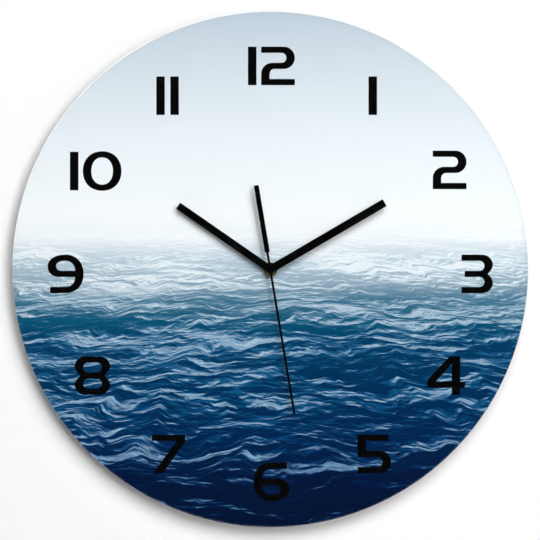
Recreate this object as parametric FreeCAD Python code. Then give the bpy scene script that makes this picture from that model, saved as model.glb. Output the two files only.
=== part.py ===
import FreeCAD, Part
import math
import os
from FreeCAD import Vector

# A round frameless glass wall clock: a printed picture behind the glass, twelve numerals, three hands
# and a battery quartz movement that hangs on a bent steel strip.
# Sizes are in millimetres. X is right as seen from the front, Z is up, the dial faces -Y, and the wall
# is the plane y = 0. The origin is on the axis of the hands, in that plane.

# Dial
dial_diameter = 400.0
glass_thickness = 4.0
glass_arris = 0.5
dial_hole_diameter = 8.4
print_thickness = 0.3
print_margin = 0.8

# Numerals, printed on the back of the glass
ink_thickness = 0.1
numeral_height = 29.9
upright_stroke = 6.6
level_stroke = 4.8
ring_radius_across = 159.7
ring_radius_up = 161.4
ring_centre_x = 0.9
ring_centre_z = -3.4
two_width = 26.2
three_width = 24.4
four_width = 29.3
five_width = 26.0
six_width = 27.9
seven_width = 26.0
eight_width = 27.6
zero_width = 30.0
zero_height = 30.7
ten_gap = 3.4
eleven_gap = 4.3
twelve_gap = 3.6
three_waist = 4.1
eight_waist = 4.5
four_bar_base = 5.4
four_apex_left = 17.3
four_shoulder = 11.4
four_eye_top = 23.9
four_eye_left = 6.4
four_stem_left = 19.0
seven_shoulder = 24.6
seven_foot_left = 0.8
seven_foot_right = 8.6
seven_inner = 19.6
circle_share = 0.5523
oval_share = 0.60
waist_corner_share = 0.92
waist_ease_share = 0.65
three_bar_share = 0.10
five_top_share = 0.93
six_foot_share = 0.067
six_bowl_share = 0.53
six_inner_share = 0.35
# Small moves of single numerals off the even ring, right and up, as shares of the numeral height
nudge_shares = {1: (-0.04, -0.05), 4: (-0.09, 0.06), 8: (-0.02, 0.06), 10: (0.065, -0.03), 11: (-0.025, -0.05)}

# Hands, lengths from the axis
hand_thickness = 0.5
hour_hand_length = 86.7
hour_hand_width = 5.8
minute_hand_length = 102.4
minute_hand_width = 6.2
second_hand_length = 113.0
second_hand_width = 1.75
second_hand_thickness = 0.4
tail_stem_length = 13.5
tail_length = 65.9
tail_width = 3.85
hour_eye_radius = 3.4
minute_eye_radius = 3.2
hand_collar_depth = 0.75
hand_set_back = 0.25
hub_cap_radius = 3.3
hub_cap_thickness = 0.9
hub_cap_round = 0.35
hub_cover = 0.3
collet_radius = 1.1
collet_depth = 0.9
hour_angle = 304.7
minute_angle = 59.7
second_angle = 170.5

# Centre fixing
rubber_diameter = 24.0
rubber_thickness = 1.0
bush_diameter = 8.0
bush_flange_diameter = 11.0
bush_flange_thickness = 0.8
bush_stand = 0.55
bush_chamfer = 0.3
nut_diameter = 11.0
nut_thickness = 2.0
nut_chamfer = 0.4
nut_washer_diameter = 10.6
nut_washer_thickness = 0.3
fixing_clearance = 0.2
hour_tube_diameter = 5.1
minute_tube_diameter = 3.3
second_arbor_diameter = 1.0
tube_clearance = 0.1
hour_tube_stand = 2.2
minute_tube_stand = 2.0
second_arbor_stand = 2.0

# Battery, size AA, and its bay
battery_length = 50.5
battery_diameter = 14.2
sleeve_thickness = 0.15
sleeve_margin = 0.5
terminal_diameter = 5.5
terminal_length = 1.0
battery_floor_gap = 0.2
battery_wall_gap = 0.3
battery_back_gap = 0.4
battery_end_gap = 0.1
contact_thickness = 0.3
contact_height = 9.5
contact_depth = 9.0
riser_width = 3.0
contact_tab_length = 3.2
spring_length = 2.3
spring_wire = 0.5
spring_turns = 2.5
spring_base_radius = 4.2
spring_tip_radius = 2.0

# Movement case
case_wall = 1.2
case_corner = 3.0
case_edge_round = 0.5
cover_thickness = 1.2
partition_thickness = 1.1
cover_gap = 0.1
lip_thickness = 0.8
lip_depth = 1.2
case_room = 0.5
notch_clearance = 0.2

# Wheels and pinions: teeth
hour_wheel_teeth = 40
minute_pinion_teeth = 10
minute_wheel_teeth = 36
cannon_teeth = 12
setting_teeth = 12
centre_wheel_teeth = 64
third_pinion_teeth = 8
third_wheel_teeth = 60
second_pinion_teeth = 8
second_wheel_teeth = 60
intermediate_pinion_teeth = 10
intermediate_wheel_teeth = 40
rotor_pinion_teeth = 8
# Tooth shapes: height above and below the pitch circle as shares of the module, widths of the pitch
wheel_addendum_share = 0.95
wheel_dedendum_share = 1.20
pinion_addendum_share = 0.75
pinion_dedendum_share = 1.15
wheel_tip_share = 0.24
wheel_root_share = 0.56
pinion_tip_share = 0.24
pinion_root_share = 0.46

# Wheels and pinions: places and thicknesses
motion_distance = 7.2
third_distance = 9.0
rotor_distance = 7.2
arbor_gap = 0.25
minute_wheel_angle = 210.0
setting_angle = 180.0
third_angle = 120.0
intermediate_angle = 45.0
rotor_angle = -20.0
floor_gap = 0.3
layer_gap = 0.4
train_gap = 0.7
hour_wheel_thickness = 1.0
cannon_thickness = 1.2
minute_wheel_thickness = 0.8
wheel_thickness = 0.7
pinion_overlap = 0.25
arbor_radius = 0.4
pivot_clearance = 0.08
pivot_depth = 1.4
pivot_end_gap = 0.3
boss_radius = 1.0
low_boss_height = 2.6
rotor_boss_height = 6.5
cannon_arbor_radius = 1.1
minute_post_radius = 0.6
post_clearance = 0.1

# Setting knob
setting_shaft_radius = 1.5
setting_pivot_radius = 0.6
setting_boss_height = 1.2
knob_radius = 5.0
knob_thickness = 2.0
knob_depth = 0.5
knob_flutes = 20
flute_radius = 0.5
well_gap = 0.5
well_wall = 0.9
well_floor = 1.0
knob_floor_gap = 0.3

# Bridge over the train
bridge_thickness = 1.0
bridge_post_radius = 1.5
bridge_post_room = 3.2
low_post_gap = 0.45
low_post_angle = -57.0
left_post_angle = 140.0
right_post_angle = 94.0
bridge_margin = 1.8
bridge_nose = 4.0
screw_shank_radius = 0.7
screw_head_radius = 1.4
screw_head_height = 0.8
screw_length = 5.0
screw_slot_width = 0.4
screw_slot_depth = 0.3

# Stepping motor
magnet_radius = 2.8
magnet_thickness = 2.3
magnet_bore_radius = 0.8
stator_thickness = 1.0
stator_bar_width = 9.1
stator_hole_gap = 0.5
stator_arm_height = 4.0
core_width = 4.0
core_length = 25.0
core_thickness = 1.0
arm_overhang = 1.0
coil_post_radius = 1.8
coil_length = 15.0
bobbin_flange_radius = 3.7
bobbin_flange_thickness = 0.8
bobbin_tube_radius = 2.6
bobbin_clearance = 0.05
winding_inset = 0.3
coil_gap = 0.4

# Circuit board
board_height = 6.8
board_thickness = 1.0
board_side_gap = 0.8
board_gap = 0.6
board_top_gap = 0.4
board_peg_radius = 0.7
board_peg_inset = 6.0
peg_clearance = 0.1
peg_stand = 0.2
chip_radius = 2.5
chip_height = 1.2
chip_round = 0.8
crystal_radius = 1.0
crystal_length = 6.0
crystal_lead = 1.2
crystal_lead_width = 0.4
crystal_lift = 0.02

# Hanger
hanger_width = 24.0
hanger_thickness = 1.0
hanger_gap = 0.1
hanger_bend = 0.6
hanger_foot = 10.0
hanger_foot_round = 4.0
hanger_head_round = 11.0
hanger_wall_gap = 0.6
keyhole_rise = 9.0
keyhole_radius = 4.2
keyhole_slot_width = 3.8
keyhole_slot_length = 8.0
keyhole_margin = 4.5

# Cuts run past the faces they open by this much, and ends nearer than join_gap count as joined
overrun = 1.0
join_gap = 0.000001


def polar(x, z, distance, angle):
    """The point at a distance and angle, counted from +X towards +Z, from another point."""
    turn = math.radians(angle)
    return x + distance * math.cos(turn), z + distance * math.sin(turn)


# Wheels: pitch sizes follow from the centre distances
hour_module = 2 * motion_distance / (hour_wheel_teeth + minute_pinion_teeth)
setting_module = 2 * motion_distance / (cannon_teeth + minute_wheel_teeth)
centre_module = 2 * third_distance / (centre_wheel_teeth + third_pinion_teeth)
third_module = 2 * third_distance / (third_wheel_teeth + second_pinion_teeth)
centre_tip = centre_module * (centre_wheel_teeth / 2 + wheel_addendum_share)
intermediate_distance = centre_tip + arbor_gap + arbor_radius
second_module = 2 * intermediate_distance / (second_wheel_teeth + intermediate_pinion_teeth)
rotor_module = 2 * rotor_distance / (intermediate_wheel_teeth + rotor_pinion_teeth)
third_tip = third_module * (third_wheel_teeth / 2 + wheel_addendum_share)
intermediate_tip = rotor_module * (intermediate_wheel_teeth / 2 + wheel_addendum_share)

minute_x, minute_z = polar(0, 0, motion_distance, minute_wheel_angle)
setting_x, setting_z = polar(minute_x, minute_z, motion_distance, setting_angle)
third_x, third_z = polar(0, 0, third_distance, third_angle)
intermediate_x, intermediate_z = polar(0, 0, intermediate_distance, intermediate_angle)
rotor_x, rotor_z = polar(intermediate_x, intermediate_z, rotor_distance, rotor_angle)

left_post = polar(third_x, third_z, third_tip + bridge_post_radius + bridge_post_room, left_post_angle)
right_post = polar(
    intermediate_x, intermediate_z, intermediate_tip + bridge_post_radius + bridge_post_room, right_post_angle
)
low_post = polar(0, 0, centre_tip + bridge_post_radius + low_post_gap, low_post_angle)

# Layers of the movement, as heights over the inside of the front wall
hour_wheel_from = floor_gap
hour_wheel_to = hour_wheel_from + hour_wheel_thickness
cannon_from = hour_wheel_to + layer_gap
cannon_to = cannon_from + cannon_thickness
minute_wheel_from = cannon_from + (cannon_thickness - minute_wheel_thickness) / 2
minute_wheel_to = minute_wheel_from + minute_wheel_thickness
centre_wheel_from = cannon_to + layer_gap
centre_wheel_to = centre_wheel_from + wheel_thickness
third_wheel_from = centre_wheel_to + train_gap
third_wheel_to = third_wheel_from + wheel_thickness
second_wheel_from = third_wheel_to + train_gap
second_wheel_to = second_wheel_from + wheel_thickness
intermediate_wheel_from = second_wheel_to + train_gap
intermediate_wheel_to = intermediate_wheel_from + wheel_thickness
magnet_from = intermediate_wheel_to + train_gap
magnet_to = magnet_from + magnet_thickness
stator_from = (magnet_from + magnet_to - stator_thickness) / 2
stator_to = stator_from + stator_thickness
core_from = stator_from - core_thickness
bridge_from = magnet_to + layer_gap
bridge_to = bridge_from + bridge_thickness
train_depth = bridge_to + screw_head_height + cover_gap
board_from = stator_from + layer_gap
board_to = board_from + board_thickness

# Planes across the clock, from the wall to the tip of the second arbor
case_depth = max(
    case_wall + battery_floor_gap + battery_diameter + battery_back_gap, case_wall + train_depth + cover_thickness
)
case_front_y = -case_depth
floor_y = case_front_y + case_wall
hanger_front_y = case_front_y - hanger_thickness
rubber_front_y = hanger_front_y - rubber_thickness
print_front_y = rubber_front_y - print_thickness
glass_front_y = print_front_y - glass_thickness
nut_washer_front_y = glass_front_y - nut_washer_thickness
nut_front_y = nut_washer_front_y - nut_thickness
bush_front_y = nut_front_y - bush_stand
hour_tube_front_y = bush_front_y - hour_tube_stand
minute_tube_front_y = hour_tube_front_y - minute_tube_stand
second_arbor_front_y = minute_tube_front_y - second_arbor_stand
hour_hand_front_y = hour_tube_front_y + hand_set_back
minute_hand_front_y = minute_tube_front_y + hand_set_back
hub_front_y = second_arbor_front_y - hub_cover
second_hand_front_y = hub_front_y + hub_cap_thickness

# Case: the width holds the battery and the coil, the height holds the train, the board and the bay
coil_x = rotor_x + stator_bar_width / 2 + coil_gap + bobbin_flange_radius
coil_z = rotor_z
coil_edge_x = max(coil_x + bobbin_flange_radius, coil_x + core_width / 2 + arm_overhang)
inner_width = max(
    battery_length + spring_length + 2 * (contact_thickness + battery_end_gap),
    2 * (coil_edge_x + cover_gap + max(lip_thickness + cover_gap, contact_thickness)),
)
inner_x = inner_width / 2
outer_x = inner_x + case_wall
board_z0 = right_post[1] + bridge_post_radius + board_gap
board_z1 = board_z0 + board_height
inner_top = board_z1 + board_top_gap
outer_top = inner_top + case_wall
well_radius = knob_radius + well_gap
well_outer_radius = well_radius + well_wall
partition_top = min(low_post[1] - bridge_margin, setting_z - well_outer_radius) - case_room
partition_bottom = partition_top - partition_thickness
bay_bottom = partition_bottom - battery_diameter - 2 * battery_wall_gap
outer_bottom = bay_bottom - case_wall
battery_y = floor_y + battery_floor_gap + battery_diameter / 2
battery_z = bay_bottom + battery_wall_gap + battery_diameter / 2
battery_x1 = inner_x - contact_thickness - battery_end_gap
battery_x0 = battery_x1 - battery_length
riser_y1 = -(cover_thickness + lip_depth + notch_clearance)
riser_y0 = riser_y1 - riser_width


def above_floor(height):
    """The y of a height over the inside of the case's front wall."""
    return floor_y + height


def block(x0, x1, y0, y1, z0, z1):
    return Part.makeBox(x1 - x0, y1 - y0, z1 - z0, Vector(x0, y0, z0))


def rod(radius, y0, y1, x=0, z=0):
    """A cylinder along Y."""
    return Part.makeCylinder(radius, y1 - y0, Vector(x, y0, z), Vector(0, 1, 0))


def ring(outer, inner, y0, y1, x=0, z=0):
    """A tube along Y."""
    return rod(outer, y0, y1, x, z).cut(rod(inner, y0 - overrun, y1 + overrun, x, z))


def prism(wire, y0, y1):
    """A solid from a wire in the plane y = 0, between two depths."""
    solid = Part.Face(wire).extrude(Vector(0, y1 - y0, 0))
    solid.translate(Vector(0, y0, 0))
    return solid


def polygon(points):
    corners = [Vector(x, 0, z) for x, z in points]
    return Part.makePolygon(corners + corners[:1])


def soft_outline(corners, fullness_share):
    """A closed wire in the plane y = 0 through corners (x, z, reach before, reach after), eased by curves."""
    count = len(corners)
    places = [Vector(corner[0], 0, corner[1]) for corner in corners]
    edges = []
    spans = []
    for index, (place, corner) in enumerate(zip(places, corners)):
        before = (places[index - 1] - place).normalize()
        after = (places[(index + 1) % count] - place).normalize()
        spans.append((place + before * corner[2], place + after * corner[3]))
    for index, (start, end) in enumerate(spans):
        last_end = spans[index - 1][1]
        if (start - last_end).Length > join_gap:
            edges.append(Part.LineSegment(last_end, start).toShape())
        if (end - start).Length > join_gap:
            place = places[index]
            curve = Part.BezierCurve()
            curve.setPoles([start, start + (place - start) * fullness_share, end + (place - end) * fullness_share, end])
            edges.append(curve.toShape())
    return Part.Wire(Part.__sortEdges__(edges))


def rims(solid, y_from=-math.inf, y_to=math.inf):
    """The closed edges of a turned solid that lie between two depths."""
    return [edge for edge in solid.Edges if edge.Closed and y_from < edge.CenterOfMass.y < y_to]


def mesh_phase(teeth, phase, line_angle, other_teeth):
    """The tooth angle of a gear that meshes with another, whose centre lies at line_angle from the first."""
    return line_angle + 180 - (phase - line_angle) * teeth / other_teeth - 180 / other_teeth


def gear(teeth, module, phase, is_wheel, y0, y1, x, z):
    """A spur gear with a tooth centred at the phase angle."""
    pitch_radius = module * teeth / 2
    if is_wheel:
        tip_radius = pitch_radius + module * wheel_addendum_share
        root_radius = pitch_radius - module * wheel_dedendum_share
        tip_share, root_share = wheel_tip_share, wheel_root_share
    else:
        tip_radius = pitch_radius + module * pinion_addendum_share
        root_radius = pitch_radius - module * pinion_dedendum_share
        tip_share, root_share = pinion_tip_share, pinion_root_share
    tooth_angle = 360 / teeth
    points = []
    for tooth in range(teeth):
        middle = phase + tooth * tooth_angle
        points.append(polar(x, z, root_radius, middle - tooth_angle * root_share / 2))
        points.append(polar(x, z, tip_radius, middle - tooth_angle * tip_share / 2))
        points.append(polar(x, z, tip_radius, middle + tooth_angle * tip_share / 2))
        points.append(polar(x, z, root_radius, middle + tooth_angle * root_share / 2))
    return prism(polygon(points), y0, y1)


def wheel(teeth, module, phase, low, high, x=0, z=0):
    return gear(teeth, module, phase, True, above_floor(low), above_floor(high), x, z)


def pinion(teeth, module, phase, low, high, x=0, z=0):
    return gear(teeth, module, phase, False, above_floor(low), above_floor(high), x, z)


def slotted_screw(x, z, seat, head_radius, head_height, shank_radius, length):
    """A screw that enters towards the front, its head seated at a height over the floor."""
    seat_y = above_floor(seat)
    head_y = seat_y + head_height
    screw = rod(head_radius, seat_y, head_y, x, z).fuse(rod(shank_radius, seat_y - length, seat_y, x, z))
    slot_half = screw_slot_width / 2
    slot = block(
        x - head_radius - overrun, x + head_radius + overrun, head_y - screw_slot_depth, head_y + overrun,
        z - slot_half, z + slot_half,
    )
    return screw.cut(slot)


# Numerals


numeral_half = numeral_height / 2
bar_low = (numeral_height - level_stroke) / 2
bar_high = (numeral_height + level_stroke) / 2
outer_round = bar_high / 2
inner_round = outer_round - level_stroke
eye_height = numeral_height - level_stroke - bar_high


def sharp(*points):
    return [(x, z, 0, 0) for x, z in points]


def digit_one():
    return sharp((0, 0), (upright_stroke, 0), (upright_stroke, numeral_height), (0, numeral_height)), [], circle_share


def digit_two():
    width = two_width
    stem = width - upright_stroke
    outline = [
        (0, numeral_height, 0, 0),
        (width, numeral_height, outer_round, outer_round),
        (width, bar_low, outer_round, outer_round),
        (upright_stroke, bar_low, inner_round, inner_round),
        (upright_stroke, level_stroke, 0, 0),
        (width, level_stroke, 0, 0),
        (width, 0, 0, 0),
        (0, 0, 0, 0),
        (0, bar_high, outer_round, outer_round),
        (stem, bar_high, inner_round, inner_round),
        (stem, numeral_height - level_stroke, inner_round, inner_round),
        (0, numeral_height - level_stroke, 0, 0),
    ]
    return outline, [], circle_share


def waist(width, depth):
    """The notch at half height on the right of the three and the eight, from the top corner down."""
    corner = outer_round * waist_corner_share
    side = numeral_half - depth - corner
    ease = math.hypot(depth, depth) * waist_ease_share
    return [
        (width, numeral_height, outer_round, corner),
        (width, numeral_half + depth, side, ease),
        (width - depth, numeral_half, 0, 0),
        (width, numeral_half - depth, ease, side),
        (width, 0, corner, outer_round),
    ]


def digit_three():
    stem = three_width - upright_stroke
    bar_left = three_width * three_bar_share
    outline = [
        (0, numeral_height, 0, 0),
        *waist(three_width, three_waist),
        (0, 0, 0, 0),
        (0, level_stroke, 0, 0),
        (stem, level_stroke, inner_round, inner_round),
        (stem, bar_low, inner_round, inner_round),
        (bar_left, bar_low, 0, 0),
        (bar_left, bar_high, 0, 0),
        (stem, bar_high, inner_round, inner_round),
        (stem, numeral_height - level_stroke, inner_round, inner_round),
        (0, numeral_height - level_stroke, 0, 0),
    ]
    return outline, [], circle_share


def digit_four():
    bar_top = four_bar_base + level_stroke
    stem_right = four_stem_left + upright_stroke
    outline = sharp(
        (0, four_bar_base), (four_stem_left, four_bar_base), (four_stem_left, 0), (stem_right, 0),
        (stem_right, four_bar_base), (four_width, four_bar_base), (four_width, bar_top), (stem_right, bar_top),
        (stem_right, numeral_height), (four_apex_left, numeral_height), (0, four_shoulder),
    )
    eye = sharp((four_stem_left, four_eye_top), (four_eye_left, bar_top), (four_stem_left, bar_top))
    return outline, [eye], circle_share


def digit_five():
    stem = five_width - upright_stroke
    top_right = five_width * five_top_share
    outline = [
        (0, numeral_height, 0, 0),
        (top_right, numeral_height, 0, 0),
        (top_right, numeral_height - level_stroke, 0, 0),
        (upright_stroke, numeral_height - level_stroke, 0, 0),
        (upright_stroke, bar_high, 0, 0),
        (five_width, bar_high, outer_round, outer_round),
        (five_width, 0, outer_round, outer_round),
        (0, 0, 0, 0),
        (0, level_stroke, 0, 0),
        (stem, level_stroke, inner_round, inner_round),
        (stem, bar_low, inner_round, inner_round),
        (0, bar_low, 0, 0),
    ]
    return outline, [], circle_share


def digit_nine():
    foot = six_width * six_foot_share
    stem = six_width - upright_stroke
    bowl = numeral_height - bar_low
    eye_width = stem - upright_stroke
    half_width = six_width / 2
    outline = [
        (foot, 0, 0, 0),
        (six_width, 0, half_width, numeral_half),
        (six_width, numeral_height, numeral_half, half_width),
        (0, numeral_height, half_width, bowl * six_bowl_share),
        (0, bar_low, bowl - bowl * six_bowl_share, outer_round),
        (stem, bar_low, 0, 0),
        (stem, level_stroke, bar_low - level_stroke, stem * six_inner_share),
        (foot, level_stroke, 0, 0),
    ]
    eye = [
        (stem, bar_high, 0, 0),
        (stem, numeral_height - level_stroke, eye_height, eye_width * six_bowl_share),
        (upright_stroke, numeral_height - level_stroke, eye_width - eye_width * six_bowl_share, eye_height / 2),
        (upright_stroke, bar_high, eye_height / 2, inner_round),
    ]
    return outline, [eye], oval_share


def digit_six():
    """A nine turned half round."""
    outline, eyes, fullness_share = digit_nine()

    def turned(corners):
        return [(six_width - x, numeral_height - z, before, after) for x, z, before, after in corners]

    return turned(outline), [turned(eye) for eye in eyes], fullness_share


def digit_seven():
    outline = sharp(
        (0, numeral_height), (seven_width, numeral_height), (seven_width, seven_shoulder), (seven_foot_right, 0),
        (seven_foot_left, 0), (seven_inner, numeral_height - level_stroke), (0, numeral_height - level_stroke),
    )
    return outline, [], circle_share


def digit_eight():
    right = waist(eight_width, eight_waist)
    left = [(eight_width - x, numeral_height - z, before, after) for x, z, before, after in right]
    eye_left = upright_stroke
    eye_right = eight_width - upright_stroke
    eyes = []
    for low, high in ((bar_high, numeral_height - level_stroke), (level_stroke, bar_low)):
        corners = [(eye_left, low), (eye_right, low), (eye_right, high), (eye_left, high)]
        eyes.append([(x, z, inner_round, inner_round) for x, z in corners])
    return right + left, eyes, circle_share


def digit_zero():
    low = (numeral_height - zero_height) / 2
    high = low + zero_height
    half_width = zero_width / 2
    outline = [
        (x, z, before, after)
        for x, z, before, after in (
            (0, low, zero_height / 2, half_width),
            (zero_width, low, half_width, zero_height / 2),
            (zero_width, high, zero_height / 2, half_width),
            (0, high, half_width, zero_height / 2),
        )
    ]
    inner_half_width = half_width - upright_stroke
    inner_half_height = zero_height / 2 - level_stroke
    eye = [
        (upright_stroke, low + level_stroke, inner_half_height, inner_half_width),
        (zero_width - upright_stroke, low + level_stroke, inner_half_width, inner_half_height),
        (zero_width - upright_stroke, high - level_stroke, inner_half_height, inner_half_width),
        (upright_stroke, high - level_stroke, inner_half_width, inner_half_height),
    ]
    return outline, [eye], oval_share


digits = {
    0: (digit_zero, zero_width),
    1: (digit_one, upright_stroke),
    2: (digit_two, two_width),
    3: (digit_three, three_width),
    4: (digit_four, four_width),
    5: (digit_five, five_width),
    6: (digit_six, six_width),
    7: (digit_seven, seven_width),
    8: (digit_eight, eight_width),
    9: (digit_nine, six_width),
}
pair_gaps = {10: ten_gap, 11: eleven_gap, 12: twelve_gap}


def numeral_solids():
    """Each digit of the twelve numerals as its own thin solid on the back of the glass."""
    solids = []
    ink_back_y = print_front_y + ink_thickness
    for hour in range(1, 13):
        figures = [int(figure) for figure in str(hour)]
        total = sum(digits[figure][1] for figure in figures) + pair_gaps.get(hour, 0) * (len(figures) - 1)
        turn = math.radians(360 * hour / 12)
        right_share, up_share = nudge_shares.get(hour, (0, 0))
        centre_x = ring_centre_x + ring_radius_across * math.sin(turn) + numeral_height * right_share
        centre_z = ring_centre_z + ring_radius_up * math.cos(turn) + numeral_height * up_share
        left = centre_x - total / 2
        for figure in figures:
            shape_of, width = digits[figure]
            outline, eyes, fullness_share = shape_of()
            solid = prism(soft_outline(outline, fullness_share), print_front_y, ink_back_y)
            for eye in eyes:
                eye_solid = prism(soft_outline(eye, fullness_share), print_front_y - overrun, ink_back_y + overrun)
                solid = solid.cut(eye_solid)
            solid.translate(Vector(left, 0, centre_z - numeral_half))
            solids.append(solid)
            left += width + pair_gaps.get(hour, 0)
    return solids


# Dial


def make_glass_disc():
    disc = rod(dial_diameter / 2, glass_front_y, print_front_y)
    disc = disc.makeChamfer(glass_arris, rims(disc))
    return disc.cut(rod(dial_hole_diameter / 2, glass_front_y - overrun, print_front_y + overrun))


def make_picture_print(figures):
    radius = dial_diameter / 2 - print_margin
    sheet = ring(radius, dial_hole_diameter / 2, print_front_y, rubber_front_y)
    return sheet.cut(Part.makeCompound(figures))


# Centre fixing


def make_rubber_washer():
    return ring(rubber_diameter / 2, bush_diameter / 2 + fixing_clearance, rubber_front_y, hanger_front_y)


def make_threaded_bush():
    """Round bush that carries the hour tube, with a flange inside the case."""
    flange_y = floor_y - bush_flange_thickness
    bush = rod(bush_diameter / 2, bush_front_y, floor_y)
    bush = bush.makeChamfer(bush_chamfer, rims(bush, y_to=nut_front_y))
    bush = bush.fuse(rod(bush_flange_diameter / 2, flange_y, floor_y))
    bore = hour_tube_diameter / 2 + tube_clearance
    return bush.cut(rod(bore, bush_front_y - overrun, floor_y + overrun))


def make_nut_washer():
    inner = bush_diameter / 2 + fixing_clearance
    return ring(nut_washer_diameter / 2, inner, nut_washer_front_y, glass_front_y)


def make_fixing_nut():
    body = rod(nut_diameter / 2, nut_front_y, nut_washer_front_y)
    body = body.makeChamfer(nut_chamfer, rims(body, y_to=nut_washer_front_y - nut_chamfer))
    return body.cut(rod(bush_diameter / 2, nut_front_y - overrun, nut_washer_front_y + overrun))


# Hands


def aim(shape, angle):
    """Turns a hand from twelve o'clock to its angle, clockwise as seen from the front."""
    shape.rotate(Vector(0, 0, 0), Vector(0, 1, 0), angle)
    return shape


def baton_hand(length, width, eye_radius, bore_radius, front_y, angle):
    """A plain square-ended baton with a round eye and a collar that grips its tube."""
    back_y = front_y + hand_thickness
    hand = block(-width / 2, width / 2, front_y, back_y, 0, length)
    hand = hand.fuse(rod(eye_radius, front_y, back_y))
    hand = hand.fuse(rod(eye_radius, back_y, back_y + hand_collar_depth)).removeSplitter()
    hand = hand.cut(rod(bore_radius, front_y - overrun, back_y + hand_collar_depth + overrun))
    return aim(hand, angle)


def make_hour_hand():
    bore = hour_tube_diameter / 2
    return baton_hand(hour_hand_length, hour_hand_width, hour_eye_radius, bore, hour_hand_front_y, hour_angle)


def make_minute_hand():
    bore = minute_tube_diameter / 2
    return baton_hand(
        minute_hand_length, minute_hand_width, minute_eye_radius, bore, minute_hand_front_y, minute_angle
    )


def make_second_hand():
    front_y = second_hand_front_y
    back_y = front_y + second_hand_thickness
    half = second_hand_width / 2
    tail_half = tail_width / 2
    hand = block(-half, half, front_y, back_y, -tail_stem_length, second_hand_length)
    hand = hand.fuse(block(-tail_half, tail_half, front_y, back_y, -tail_length, -tail_stem_length))
    hand = hand.fuse(rod(collet_radius + half, front_y, back_y)).removeSplitter()
    return aim(hand.cut(rod(collet_radius, front_y - overrun, back_y + overrun)), second_angle)


def make_second_hand_hub():
    """Cap with the collet that grips the second arbor."""
    collet_back_y = second_hand_front_y + second_hand_thickness + collet_depth
    cap = rod(hub_cap_radius, hub_front_y, second_hand_front_y)
    cap = cap.makeFillet(hub_cap_round, rims(cap, y_to=second_hand_front_y - hub_cap_round))
    hub = cap.fuse(rod(collet_radius, second_hand_front_y, collet_back_y))
    return hub.cut(rod(second_arbor_diameter / 2, second_arbor_front_y, collet_back_y + overrun))


# Wheels


centre_phase = 0
third_pinion_phase = mesh_phase(centre_wheel_teeth, centre_phase, third_angle, third_pinion_teeth)
second_pinion_phase = mesh_phase(third_wheel_teeth, third_pinion_phase, third_angle + 180, second_pinion_teeth)
intermediate_phase = mesh_phase(
    second_wheel_teeth, second_pinion_phase, intermediate_angle, intermediate_pinion_teeth
)
rotor_phase = mesh_phase(intermediate_wheel_teeth, intermediate_phase, rotor_angle, rotor_pinion_teeth)
cannon_phase = minute_wheel_angle
minute_phase = mesh_phase(cannon_teeth, cannon_phase, minute_wheel_angle, minute_wheel_teeth)
hour_phase = mesh_phase(minute_pinion_teeth, minute_phase, minute_wheel_angle + 180, hour_wheel_teeth)
setting_phase = mesh_phase(minute_wheel_teeth, minute_phase, setting_angle, setting_teeth)


def arbor(low, high, x=0, z=0):
    return rod(arbor_radius, above_floor(low), above_floor(high), x, z)


def make_hour_wheel():
    body = wheel(hour_wheel_teeth, hour_module, hour_phase, hour_wheel_from, hour_wheel_to)
    body = body.fuse(rod(hour_tube_diameter / 2, hour_tube_front_y, above_floor(hour_wheel_to)))
    bore = minute_tube_diameter / 2 + tube_clearance
    return body.cut(rod(bore, hour_tube_front_y - overrun, above_floor(hour_wheel_to) + overrun))


def make_cannon_pinion():
    """The minute tube, the pinion that drives the motion work, and the seat of the centre wheel."""
    back_y = above_floor(centre_wheel_to + pinion_overlap)
    body = pinion(cannon_teeth, setting_module, cannon_phase, cannon_from, cannon_to)
    body = body.fuse(rod(minute_tube_diameter / 2, minute_tube_front_y, above_floor(cannon_from)))
    body = body.fuse(rod(cannon_arbor_radius, above_floor(cannon_to), back_y))
    bore = second_arbor_diameter / 2 + tube_clearance
    return body.cut(rod(bore, minute_tube_front_y - overrun, back_y + overrun))


def make_centre_wheel():
    body = wheel(centre_wheel_teeth, centre_module, centre_phase, centre_wheel_from, centre_wheel_to)
    low_y = above_floor(centre_wheel_from) - overrun
    return body.cut(rod(cannon_arbor_radius, low_y, above_floor(centre_wheel_to) + overrun))


def make_minute_wheel():
    low = floor_gap / 2
    body = wheel(
        minute_wheel_teeth, setting_module, minute_phase, minute_wheel_from, minute_wheel_to, minute_x, minute_z
    )
    body = body.fuse(
        pinion(minute_pinion_teeth, hour_module, minute_phase, low, minute_wheel_from, minute_x, minute_z)
    )
    bore = minute_post_radius + post_clearance
    hole = rod(bore, above_floor(low) - overrun, above_floor(minute_wheel_to) + overrun, minute_x, minute_z)
    return body.cut(hole)


def train_wheel(teeth, module, pinion_teeth, pinion_module, phase, mesh_from, wheel_from, x, z):
    """A wheel and pinion moulded on one arbor; mesh_from is the layer of the wheel that its pinion meets."""
    bottom = low_boss_height - pivot_depth + pivot_end_gap
    pinion_from = mesh_from - pinion_overlap
    pinion_to = mesh_from + wheel_thickness + pinion_overlap
    body = wheel(teeth, module, phase, wheel_from, wheel_from + wheel_thickness, x, z)
    body = body.fuse(pinion(pinion_teeth, pinion_module, phase, pinion_from, pinion_to, x, z))
    return body.fuse(arbor(bottom, bridge_to - pivot_end_gap, x, z))


def make_third_wheel():
    return train_wheel(
        third_wheel_teeth, third_module, third_pinion_teeth, centre_module, third_pinion_phase,
        centre_wheel_from, third_wheel_from, third_x, third_z,
    )


def make_intermediate_wheel():
    return train_wheel(
        intermediate_wheel_teeth, rotor_module, intermediate_pinion_teeth, second_module, intermediate_phase,
        second_wheel_from, intermediate_wheel_from, intermediate_x, intermediate_z,
    )


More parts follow.
